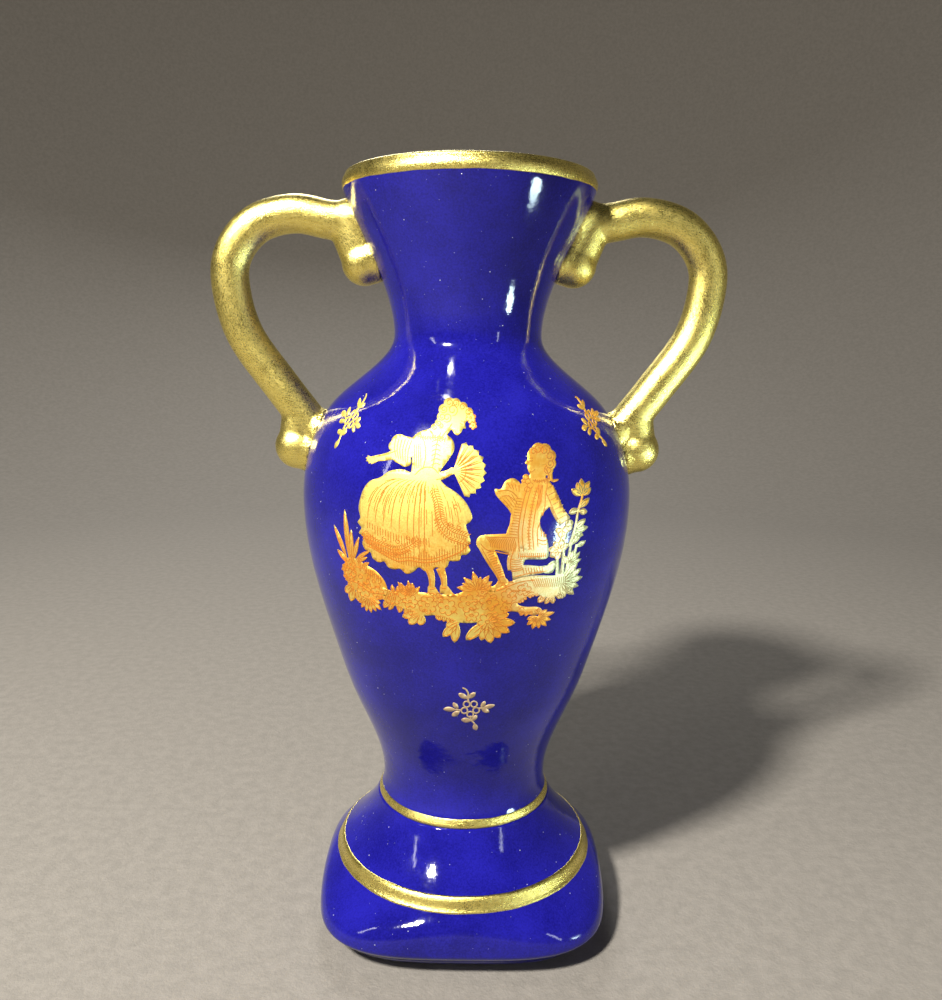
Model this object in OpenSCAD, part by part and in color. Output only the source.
// Two-handled urn vase of glazed porcelain on a rounded square foot.
// The origin is the centre of the standing face, +Z is up, and the printed front faces -Y.

/* [Body] */
// Height from the standing face to the top of the lip
height = 150; // [148:0.5:152]
// Outer radius of the lip
lip_r = 24.7; // [24:0.1:25.5]
// Outer radius of the throat, the narrowest part of the neck
throat_r = 14.4; // [13.8:0.1:15]
// Height of the throat
throat_z = 120.3; // [119:0.1:121.5]
// Outer radius of the belly
belly_r = 32.7; // [32.2:0.1:33.2]
// Height of the belly's widest line
belly_z = 88.5; // [87:0.1:90]
// Outer radius of the stem, just above the foot
stem_r = 17; // [16.5:0.1:17.5]
// Thickness of the porcelain wall
wall = 3; // [2.6:0.1:3.4]

/* [Foot] */
// Height of the foot, up to the waist that the body stands on
foot_h = 24.9; // [24.6:0.1:25.2]
// Outer radius of the waist
waist_r = 18.3; // [18:0.1:18.6]
// Half the width of the square plinth at its widest
plinth_half = 29.6; // [29.2:0.1:30]
// Squareness of the plinth's outline, where 2 is a circle
plinth_square = 3.6; // [3.2:0.1:4.5]

/* [Handles] */
// Distance from the vase's axis to the outside of a handle
handle_reach = 50.3; // [50:0.1:50.6]
// Width of the handle's rod, seen from the front
rod_w = 7.4; // [6.8:0.1:8]
// Depth of the handle's rod, front to back
rod_d = 6.8; // [6:0.1:7.6]
// Radius of the scroll that the handle ends in on the neck
neck_scroll_r = 4.4; // [4.2:0.1:4.6]
// Radius of the scroll that the handle ends in on the shoulder
shoulder_scroll_r = 4.6; // [4.4:0.1:4.8]

/* [Gilding] */
// Width of the gold band down the outside of the rim
rim_band = 2.7; // [2.2:0.1:3.2]
// Width of the gold line round the waist
waist_band = 1.8; // [1.4:0.1:2.2]
// Height of the foot band's lower edge
foot_band_z = 12.9; // [12.7:0.1:13.1]
// Height of the foot band's upper edge
foot_band_top = 15.6; // [15.4:0.1:15.8]

/* [Hidden] */
$fn = 48;

glaze_blue = "#1a1f9c";
slip_white = "#e9e6df";
gold = "#c9a53c";
print_gold = "#e0a136";

skin = 0.12;                // thickness given to gold and to the prints
luting = 0.5;               // thickness of a slip joint
lip_round = 1.25;           // radius of the rolled lip
floor_z = 33;               // inside bottom of the body
steps = 8;                  // facets of the outline between two stations
lip_turns = 8;              // facets round the lip
lip_flare = 0.34;           // slope of the neck where it meets the lip
body_z = foot_h + luting;   // where the body's own clay starts

// Height at which the neck's outline hands over to the lip's round.
lip_z = height - skin - lip_round * (1 + lip_flare / sqrt(1 + lip_flare^2));

// Stations of the body's outside, bottom to top: height, radius and slope dr/dz.
body_line = [
    [foot_h, waist_r, -0.6],
    [foot_h + 4.6, stem_r, 0],
    [53.3, 24.9, 0.3],
    [belly_z, belly_r, 0],
    [106.4, 27.4, -0.66],
    [throat_z, throat_r, 0],
    [lip_z, lip_r - 0.1 - skin, lip_flare]
];

// Cubic Hermite curve between two stations.
function blend(a, b, t) = let (h = b[0] - a[0])
    (2 * t^3 - 3 * t^2 + 1) * a[1] + (t^3 - 2 * t^2 + t) * h * a[2]
    + (3 * t^2 - 2 * t^3) * b[1] + (t^3 - t^2) * h * b[2];
function blend_slope(a, b, t) = let (h = b[0] - a[0])
    (6 * t^2 - 6 * t) / h * (a[1] - b[1]) + (3 * t^2 - 4 * t + 1) * a[2] + (3 * t^2 - 2 * t) * b[2];

// Points [radius, height, slope] up a line of stations.
function climb(line) = concat(
    [for (i = [0 : len(line) - 2]) for (k = [0 : steps - 1])
        let (t = k / steps, a = line[i], b = line[i + 1])
        [blend(a, b, t), a[0] + (b[0] - a[0]) * t, blend_slope(a, b, t)]],
    [let (e = line[len(line) - 1]) [e[1], e[0], e[2]]]);

function normal(slope) = [1, -slope] / sqrt(1 + slope^2);
function raised(points, d) = [for (p = points) [p[0], p[1]] + d * normal(p[2])];
function reversed(points) = [for (i = [len(points) - 1 : -1 : 0]) points[i]];

outside = climb(body_line);
lip_end = outside[len(outside) - 1];
lip_centre = [lip_end[0], lip_end[1]] - lip_round * normal(lip_end[2]);
lip_tilt = -atan(lip_end[2]);

// The rolled lip, from the outside over the top to the inside.
function lip_arc(r) = [for (k = [1 : lip_turns])
    let (a = lip_tilt + 180 * k / lip_turns) lip_centre + r * [cos(a), sin(a)]];

// The inside wall, from the lip down to the floor. It thickens from the lip to the full wall.
function wall_at(z) = 2 * lip_round + (wall - 2 * lip_round) * min(1, (lip_end[1] - z) / 12);
inside = [for (p = reversed(outside)) if (p[1] > floor_z + wall && p[1] < lip_end[1] - 1)
    [p[0], p[1]] - wall_at(p[1]) * normal(p[2])];
floor_r = inside[len(inside) - 1][0];

module body_solid() {
    rotate_extrude($fn = 96)
        polygon(concat([[0, outside[0][1]]], raised(outside, 0), [[0, lip_z]]));
}

module swelled_body() {
    rotate_extrude($fn = 96)
        polygon(concat([[0, outside[0][1] - luting]], raised(outside, luting),
            [[0, lip_end[1]]]));
}

module vase_body() {
    color(glaze_blue)
    rotate_extrude($fn = 96)
        intersection() {
            polygon(concat([[0, outside[0][1]]], raised(outside, 0), lip_arc(lip_round), inside,
                [[floor_r - wall, floor_z], [0, floor_z]]));
            translate([0, body_z]) square([2 * belly_r, height]);
        }
}

// A shell of the given thickness laid on the outside of the body, lip included.
module body_skin() {
    rotate_extrude($fn = 96)
        polygon(concat(raised(outside, 0), lip_arc(lip_round),
            reversed(lip_arc(lip_round + skin)), reversed(raised(outside, skin))));
}

module slab(z0, z1) {
    translate([-belly_r - 5, -belly_r - 5, z0]) cube([2 * belly_r + 10, 2 * belly_r + 10, z1 - z0]);
}

// A solid lofted through rings that have the same number of points, closed by two flat caps,
// or joined end to start as a hoop.
module loft(rings, hoop = false) {
    n = len(rings[0]);
    last = len(rings) - (hoop ? 1 : 2);
    sides = [for (i = [0 : last]) for (j = [0 : n - 1])
        let (a = i * n, b = ((i + 1) % len(rings)) * n, k = (j + 1) % n)
        [a + j, a + k, b + k, b + j]];
    caps = hoop ? [] : [
        [for (j = [n - 1 : -1 : 0]) j],
        [for (j = [0 : n - 1]) (len(rings) - 1) * n + j]];
    polyhedron([for (r = rings) each r], concat(sides, caps), convexity = 6);
}

// ---- foot ----

foot_facets = 72;
plinth_z = 5.8;             // height of the plinth's widest line
stand_inset = 6.2;          // how far the sides turn under to the standing face
foot_wall = 4;              // width of the standing rim at the middle of a side
recess_h = 18;              // depth of the hollow under the foot

// Stations of the foot's outside: height, half width and slope.
foot_line = [
    [0, plinth_half - stand_inset, 2.1],
    [3.1, plinth_half - 2, 0.75],
    [plinth_z, plinth_half, 0],
    [foot_band_z, 27.2, -1.2],
    [foot_band_top, 25.6, -1.15],
    [foot_h, waist_r, -0.4]
];
foot_steps = 3;

function foot_half(i, t) = blend(foot_line[i], foot_line[i + 1], t);
function ease(t) = let (u = max(0, min(1, t))) u^2 * (3 - 2 * u);
function squareness(z) = 2 + (plinth_square - 2) * ease((foot_band_z - z) / (foot_band_z - plinth_z));

// One ring of a rounded square, from a circle where square is 2 upwards.
function square_ring(half, z, square) = [for (j = [0 : foot_facets - 1])
    let (a = 360 * j / foot_facets,
        r = half / (abs(cos(a))^square + abs(sin(a))^square)^(1 / square))
    [r * cos(a), r * sin(a), z]];

foot_outside = concat(
    [for (i = [0 : len(foot_line) - 2]) for (k = [0 : foot_steps - 1])
        let (t = k / foot_steps, z = foot_line[i][0] + (foot_line[i + 1][0] - foot_line[i][0]) * t)
        square_ring(foot_half(i, t), z, squareness(z))],
    [square_ring(waist_r, foot_h, 2)]);

// The hollow under the foot, from the top of its dome down to the standing rim.
recess_steps = 4;
recess_half = plinth_half - stand_inset - foot_wall;
recess_top = 4;             // half width of the flat top of the hollow
foot_recess = [for (k = [0 : recess_steps])
    let (down = sin(90 * k / recess_steps))
    square_ring(recess_top + (recess_half - recess_top) * (1 - (1 - down)^3),
        recess_h * (1 - down), 2 + (plinth_square - 2) * down)];

module foot() {
    color(glaze_blue) loft(concat(foot_recess, foot_outside));
}

module foot_luting() {
    color(slip_white)
    rotate_extrude($fn = 96)
        intersection() {
            polygon(concat([[0, outside[0][1]]], raised(outside, 0), [[0, lip_end[1]]]));
            translate([waist_r / 2, foot_h]) square([waist_r, luting]);
        }
}

// ---- handles ----

// Centrelines on the right side, [x, z]. Each starts and ends with a point that only steers it.
// The rod runs from inside the neck, round the loop, to inside the shoulder.
rod_path = [
    [handle_reach - 35, 142], [handle_reach - 30, 141.8], [handle_reach - 23.4, 142.2],
    [handle_reach - 16.5, 143.3], [handle_reach - 9.4, 141.4], [handle_reach - 4.8, 136.4],
    [handle_reach - 3.7, 130.2], [handle_reach - 6.2, 120.4], [handle_reach - 13.2, 110.3],
    [handle_reach - 18.6, 103.2], [handle_reach - 24, 96]
];
// The curls turn down from the rod's two ends and close in a round scroll.
neck_scroll = [handle_reach - 29.9, 134.2];
shoulder_scroll = [handle_reach - 16.2, 98.3];
neck_curl = [[handle_reach - 29, 150], [handle_reach - 26.6, 142.4], neck_scroll, [handle_reach - 33, 128]];
shoulder_curl = [[handle_reach - 14, 112], [handle_reach - 17.2, 105.4], shoulder_scroll,
    [handle_reach - 16, 92]];
rod_facets = 20;
rod_steps = 3;

// Catmull-Rom curve from p[1] to p[2], and its direction.
function rod_at(p, t) = 0.5 * (2 * p[1] + (p[2] - p[0]) * t
    + (2 * p[0] - 5 * p[1] + 4 * p[2] - p[3]) * t^2 + (3 * p[1] - p[0] - 3 * p[2] + p[3]) * t^3);
function rod_heading(p, t) = 0.5 * ((p[2] - p[0]) + 2 * (2 * p[0] - 5 * p[1] + 4 * p[2] - p[3]) * t
    + 3 * (3 * p[1] - p[0] - 3 * p[2] + p[3]) * t^2);

// An elliptical ring across a heading in the XZ plane.
function rod_ring(c, heading, w, d) = let (h = heading / norm(heading), across = [-h[1], h[0]])
    [for (j = [0 : rod_facets - 1])
        let (a = 360 * j / rod_facets, s = w / 2 * cos(a))
        [c[0] + across[0] * s, d / 2 * sin(a), c[1] + across[1] * s]];

module rod(path, w, d) {
    last = len(path) - 3;
    loft([for (i = [1 : last]) for (k = [0 : rod_steps - (i < last ? 1 : 0)])
        let (p = [for (n = [-1 : 2]) path[i + n]], t = k / rod_steps)
        rod_ring(rod_at(p, t), rod_heading(p, t), w, d)]);
}

module scroll(centre, r) {
    translate([centre[0], 0, centre[1]]) sphere(r = r, $fn = 40);
}

module handle_blank() {
    rod(rod_path, rod_w, rod_d);
    rod(neck_curl, 2 * neck_scroll_r - 0.8, rod_d);
    scroll(neck_scroll, neck_scroll_r);
    rod(shoulder_curl, 2 * shoulder_scroll_r - 1.2, rod_d);
    scroll(shoulder_scroll, shoulder_scroll_r);
}

module handle_right() {
    color(gold) difference() {
        handle_blank();
        swelled_body();
    }
}

module handle_left() {
    mirror([1, 0, 0]) handle_right();
}

// The slip joints between the handle's ends and the body.
module luting_pad(z0, z1) {
    color(slip_white) difference() {
        intersection() {
            handle_blank();
            swelled_body();
            slab(z0, z1);
        }
        body_solid();
    }
}

module neck_luting_right() {
    luting_pad(throat_z, height - rim_band - 1);
}

module neck_luting_left() {
    mirror([1, 0, 0]) neck_luting_right();
}

module shoulder_luting_right() {
    luting_pad(belly_z, throat_z - 6);
}

module shoulder_luting_left() {
    mirror([1, 0, 0]) shoulder_luting_right();
}

// ---- gilding ----

module rim_gilding() {
    color(gold) intersection() {
        body_skin();
        slab(height - rim_band, height + 1);
    }
}

module waist_gilding() {
    color(gold) intersection() {
        body_skin();
        slab(foot_h, foot_h + waist_band);
    }
}

// The foot band keeps the foot's own facets on its inside.
band_half = [foot_line[3][1], foot_line[4][1]];
module foot_gilding() {
    color(gold) loft([
        square_ring(band_half[0], foot_band_z, 2),
        square_ring(band_half[0] + skin, foot_band_z, 2),
        square_ring(band_half[1] + skin, foot_band_top, 2),
        square_ring(band_half[1], foot_band_top, 2)], hoop = true);
}

// ---- prints: flat outlines seen from the front, laid on the body as a thin skin ----

module printed(z0, z1) {
    color(print_gold) intersection() {
        body_skin();
        slab(z0, z1);
        rotate([90, 0, 0]) linear_extrude(belly_r + 3) children();
    }
}

module disc(x, z, r) {
    translate([x, z]) circle(r = r, $fn = 48);
}

// A pointed leaf from x, z in the given direction, as two equal arcs.
module leaf(x, z, angle, length, fat) {
    r = (length^2 / 4 + fat^2 / 4) / fat;
    translate([x, z]) rotate(angle) intersection() {
        translate([length / 2, r - fat / 2]) circle(r = r, $fn = 60);
        translate([length / 2, fat / 2 - r]) circle(r = r, $fn = 60);
    }
}

// Skirt, bodice with neck, near arm, head with raised hair, far arm with fan, legs.
module lady_print() {
    printed(74, 112) union() {
        polygon([[-8.6, 98], [-12, 97], [-17.4, 94.4], [-19, 89.5], [-18.4, 84], [-16, 81.2], [-11, 80],
            [-6.4, 80.2], [-2.4, 81.4], [1.6, 83.6], [1.2, 88.4], [0.6, 91.4], [-2.6, 95.4], [-5, 98]]);
        polygon([[-9.4, 97], [-11.6, 103], [-7, 105.6], [-4.2, 105], [-2.4, 107], [-0.4, 105.6],
            [-2, 103], [-1.6, 100.6], [-5, 96]]);
        polygon([[-10, 103.4], [-13.4, 102.4], [-18, 99.2], [-18, 97.4], [-12.4, 99.4], [-8, 99]]);
        disc(-1.2, 106.8, 2.5);
        disc(-1.8, 108.9, 1.5);
        polygon([[-6, 97], [-5.6, 98.6], [-2.4, 99.6], [-0.2, 102.2], [2, 101.6], [3.2, 99.6], [2.4, 97],
            [0.2, 94.4], [-2.8, 98]]);
        polygon([[-7.4, 81.2], [-6.6, 76.6], [-1.4, 75.4], [-3.4, 78], [-3.4, 83]]);
    }
}

// Head, coat with hat and far arm, front leg, kneeling leg.
module gentleman_print() {
    printed(76, 104) union() {
        disc(12.2, 99.4, 2.7);
        polygon([[9.6, 97.4], [7.8, 96.6], [5.2, 95.4], [6, 92.6], [7.9, 89.6], [8, 84], [14.6, 83.6],
            [14.4, 88], [13.4, 89.6], [15.8, 86.4], [18.2, 87.4], [15, 95.2], [14, 97.4]]);
        polygon([[8.2, 87.6], [3.4, 87.6], [1.8, 86.4], [4, 83], [5.8, 79], [9, 79], [9.4, 83.6]]);
        polygon([[9.6, 84], [13.6, 83.8], [16.2, 80.2], [15.6, 78.8], [9.4, 79.4]]);
    }
}

// A bank of earth with a flower and a leafy tuft under it.
module ground_print() {
    printed(65, 80) union() {
        polygon([[-20, 77.4], [-14.6, 77], [-11, 76.4], [-7.6, 76], [-1, 74.8], [5.4, 78.2], [15.4, 78],
            [17.6, 78.6], [20.8, 77.6], [20, 74.6], [16.4, 73.6], [14.6, 71.6], [8.4, 72.2], [5, 70.4],
            [-2.4, 71.2], [-8.4, 70.8], [-13, 72.2], [-20, 73]]);
        for (a = [20 : 40 : 340]) leaf(3.4, 70.2, a, 4.4, 1.8);
        for (a = [-150 : 45 : 30]) leaf(14.6, 71.2, a, 3.6, 1.5);
    }
}

// A low bush with a fan of blades over it.
module bush_print() {
    printed(72, 91) union() {
        polygon([[-21.6, 82.6], [-20, 83.4], [-17.4, 82], [-14.6, 79.2], [-14.2, 77.3], [-20.2, 77.7],
            [-21.8, 79]]);
        for (k = [0 : 4]) leaf(-20.4 + 0.3 * k, 82, 76 + 12 * k, 7.6 - k, 1.6);
    }
}

// An upright twig with pairs of leaves and a bud.
module branch_print() {
    printed(77, 97) union() {
        polygon([[18.4, 79], [19.6, 79.2], [20.4, 84], [20.2, 89], [20.4, 94], [19.8, 94], [19.4, 89],
            [19.4, 84]]);
        for (k = [0 : 4]) for (s = [0, 1])
            leaf(19.8 + 0.1 * k, 80 + 3 * k, s * 90 + 35 + 6 * k, 3.4 - 0.3 * k, 1.6);
        disc(20.3, 94.4, 1.2);
    }
}

// A sprig of five berries round a sixth, with leafy arms.
module sprig(x, z, angle, size, arms) {
    translate([x, z]) rotate(angle) scale(size) {
        disc(0, 0, 0.95);
        for (a = [0 : 72 : 288]) disc(1.5 * cos(a), 1.5 * sin(a), 0.95);
        for (a = arms) leaf(1.2 * cos(a), 1.2 * sin(a), a, 4, 1.3);
        for (a = arms) leaf(3 * cos(a), 3 * sin(a), a + 50, 1.9, 0.8);
    }
}

module low_sprig() {
    printed(46, 60) sprig(1.1, 53, 0, 1, [0, 97, 180, 285]);
}

module shoulder_sprig_left() {
    printed(98, 112) sprig(-20.4, 105.2, 52, 0.9, [0, 180]);
}

module shoulder_sprig_right() {
    printed(98, 112) sprig(20.4, 105.2, 128, 0.9, [0, 180]);
}

vase_body();
foot();
foot_luting();
handle_left();
handle_right();
neck_luting_left();
neck_luting_right();
shoulder_luting_left();
shoulder_luting_right();
rim_gilding();
waist_gilding();
foot_gilding();
lady_print();
gentleman_print();
ground_print();
bush_print();
branch_print();
low_sprig();
shoulder_sprig_left();
shoulder_sprig_right();
